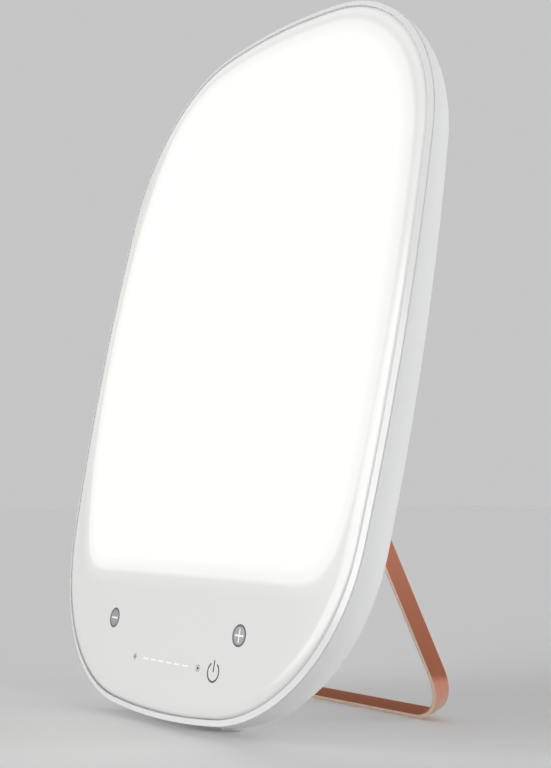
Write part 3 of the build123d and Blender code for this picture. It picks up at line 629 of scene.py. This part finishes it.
copper, tree, shader = brushed_metal("brushed copper with painted reflections", (1, 1, 1), stand_front, **face_brushing)
height = tree.nodes.new("ShaderNodeSeparateXYZ")
tree.links.new(tree.nodes.new("ShaderNodeTexCoord").outputs["Object"], height.inputs[0])
# The outer face's colour follows its height over the table: painted reflections on the copper, bright low down
# and darker above
shaded(tree, shader, ramp(tree, height.outputs["Z"], copper_hue_and_painted_reflection_tones))
# The inner face: the same copper painted much darker, a painted shade where the strip faces away from the light
copper_inside_painted_shade, tree, shader = brushed_metal("inner copper, painted shade", (0.37, 0.125, 0.075), stand_front, **face_brushing)
shader.inputs["Specular Tint"].default_value = copper_tint
# The broken edges: polished copper, given a lighter colour and less metal so they stay bright, partly a painted
# highlight
copper_edge_painted_highlight = brushed_metal("polished copper edge, painted highlight", (1.0, 0.76, 0.61), stand_front, metallic=0.7,
                            **edge_polish)[0]

strip = bmesh.new()
bmesh.ops.create_grid(strip, x_segments=1, y_segments=1, size=0.5)
bmesh.ops.scale(strip, verts=strip.verts, vec=(strip_thickness, strip_width, 1))
bmesh.ops.bevel(strip, geom=strip.verts, affect="VERTICES", offset=strip_break, offset_type="OFFSET",
                segments=break_steps, profile=0.5, material=-1)
bmesh.ops.rotate(strip, verts=strip.verts, matrix=Matrix.Rotation(pi / 2, 3, "Y"))
bmesh.ops.rotate(strip, verts=strip.verts, matrix=Matrix.Rotation(pi / 2, 3, "X"))
bmesh.ops.translate(strip, verts=strip.verts, vec=(0, foot_reach[1] + strip_thickness / 2, 0))
bmesh.ops.delete(strip, geom=strip.faces[:], context="FACES_ONLY")


def straight(section, vec):
    """Carries the strip's section on in a straight run."""
    ring = bmesh.ops.extrude_edge_only(strip, edges=section)["geom"]
    bmesh.ops.translate(strip, verts=moved(ring), vec=vec)
    return [item for item in ring if isinstance(item, bmesh.types.BMEdge)]


def bent(section, centre, angle):
    """Carries the strip's section round a bend."""
    ring = bmesh.ops.spin(strip, geom=section, cent=centre, axis=(0, 0, 1), angle=angle, steps=bend_steps,
                          use_duplicate=False)["geom_last"]
    return [item for item in ring if isinstance(item, bmesh.types.BMEdge)]


leg = Vector((ear_reach[0] - foot_reach[0], ear_reach[1] - foot_reach[1], 0))
splay = atan(-leg.x / leg.y)
foot_tangent = foot_bend * tan((pi / 2 + splay) / 2)
ear_tangent = ear_bend * tan(splay / 2)
section = straight(strip.edges[:], (foot_reach[0] - foot_tangent, 0, 0))
section = bent(section, (foot_reach[0] - foot_tangent, foot_reach[1] + foot_bend, 0), pi / 2 + splay)
section = straight(section, leg.normalized() * (leg.length - foot_tangent - ear_tangent))
section = bent(section, (ear_reach[0] + ear_bend, ear_reach[1] + ear_tangent, 0), -splay)
section = straight(section, (0, ear_top - ear_reach[1] - ear_tangent, 0))
bmesh.ops.holes_fill(strip, edges=section)
bmesh.ops.mirror(strip, geom=strip.verts[:] + strip.edges[:] + strip.faces[:], matrix=Matrix(),
                 merge_dist=merge_distance, axis="X")
bmesh.ops.remove_doubles(strip, verts=strip.verts, dist=merge_distance)
bmesh.ops.recalc_face_normals(strip, faces=strip.faces)
# Edges get the lighter copper with its painted highlight, inner faces the darker copper with painted shade,
# outer faces the copper with painted reflections
for face in strip.faces:
    face.normal_update()
    inward = face.normal.dot(loop_middle - face.calc_center_median()) > 0
    face.material_index = 1 if abs(face.normal.z) > edge_facing else 2 if inward else 0
    face.smooth = True
turn = Matrix((Vector((1, 0, 0)), stand_up, stand_front)).transposed().to_4x4()
bmesh.ops.transform(strip, verts=strip.verts,
                    matrix=Matrix.Translation(hinge_point) @ turn @ Matrix.Scale(0.001, 4))
stand = as_piece("stand_strip", strip, "stand", "stand_copper", copper, copper_edge_painted_highlight, copper_inside_painted_shade)
stand.data.set_sharp_from_angle(angle=sharp_angle)
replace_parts(stand, "stand_frame")

# ----------------------------------------------------------------------------
# Two front feet: soft grey rubber studs, moulded in one piece with their pegs
# and pressed into holes in the underside of the cover.
# ----------------------------------------------------------------------------
dress("front_feet", skinned("foot rubber", (0.60, 0.605, 0.61), grain_per_mm=2, gloss=0.6, bump=0.4))

# ----------------------------------------------------------------------------
# Surroundings: a plain pale table top that runs to the horizon, an even pale
# backdrop, and three broad soft lamps.
# ----------------------------------------------------------------------------
table_reach = 30
table_tone = 0.7
table_tone_seen = 0.92
room_light = 0.4
backdrop_light = 0.56

table_data = bmesh.new()
bmesh.ops.create_grid(table_data, x_segments=1, y_segments=1, size=table_reach)
table_mesh = bpy.data.meshes.new("table")
table_data.to_mesh(table_mesh)
table_data.free()
table = bpy.data.objects.new("table", table_mesh)
bpy.context.scene.collection.objects.link(table)


def seen(tree):
    """One for what the camera sees, straight or in metal and glass, and nought for other light."""
    path = tree.nodes.new("ShaderNodeLightPath").outputs
    straight = number(tree, "MAXIMUM", path["Is Camera Ray"], path["Is Transmission Ray"])
    return number(tree, "MAXIMUM", straight, path["Is Glossy Ray"])


table_white, tree, shader = new_material("table", roughness=0.7)
shader.inputs["Specular IOR Level"].default_value = 0.1
tone = number(tree, "MULTIPLY_ADD", seen(tree), table_tone_seen - table_tone, table_tone)
tree.links.new(tone, shader.inputs["Base Color"])
table_mesh.materials.append(table_white)


def soft_lamp(name, side, strength, spread):
    """Soft, even light from one side of the lamp, spread over an angle in degrees."""
    data = bpy.data.lights.new(name, "SUN")
    data.energy = strength
    data.angle = radians(spread)
    lamp = bpy.data.objects.new(name, data)
    bpy.context.scene.collection.objects.link(lamp)
    lamp.rotation_euler = Vector(side).to_track_quat("Z", "Y").to_euler()
    return lamp


soft_lamp("front", (0.3, -2.2, 0.2), 0.66, 35)
soft_lamp("front left", (-0.7, -1.9, 0.3), 1.9, 45)
soft_lamp("rear right", (1.5, 1.4, 0.05), 2.85, 30).visible_glossy = False

world = bpy.data.worlds.new("studio")
bpy.context.scene.world = world
world.use_nodes = True
background = world.node_tree.nodes["Background"]
background.inputs["Color"].default_value = (1, 1, 1, 1)
tree = world.node_tree
strength = number(tree, "MULTIPLY_ADD", seen(tree), backdrop_light - room_light, room_light)
tree.links.new(strength, background.inputs["Strength"])

bpy.context.scene.view_settings.view_transform = "Standard"
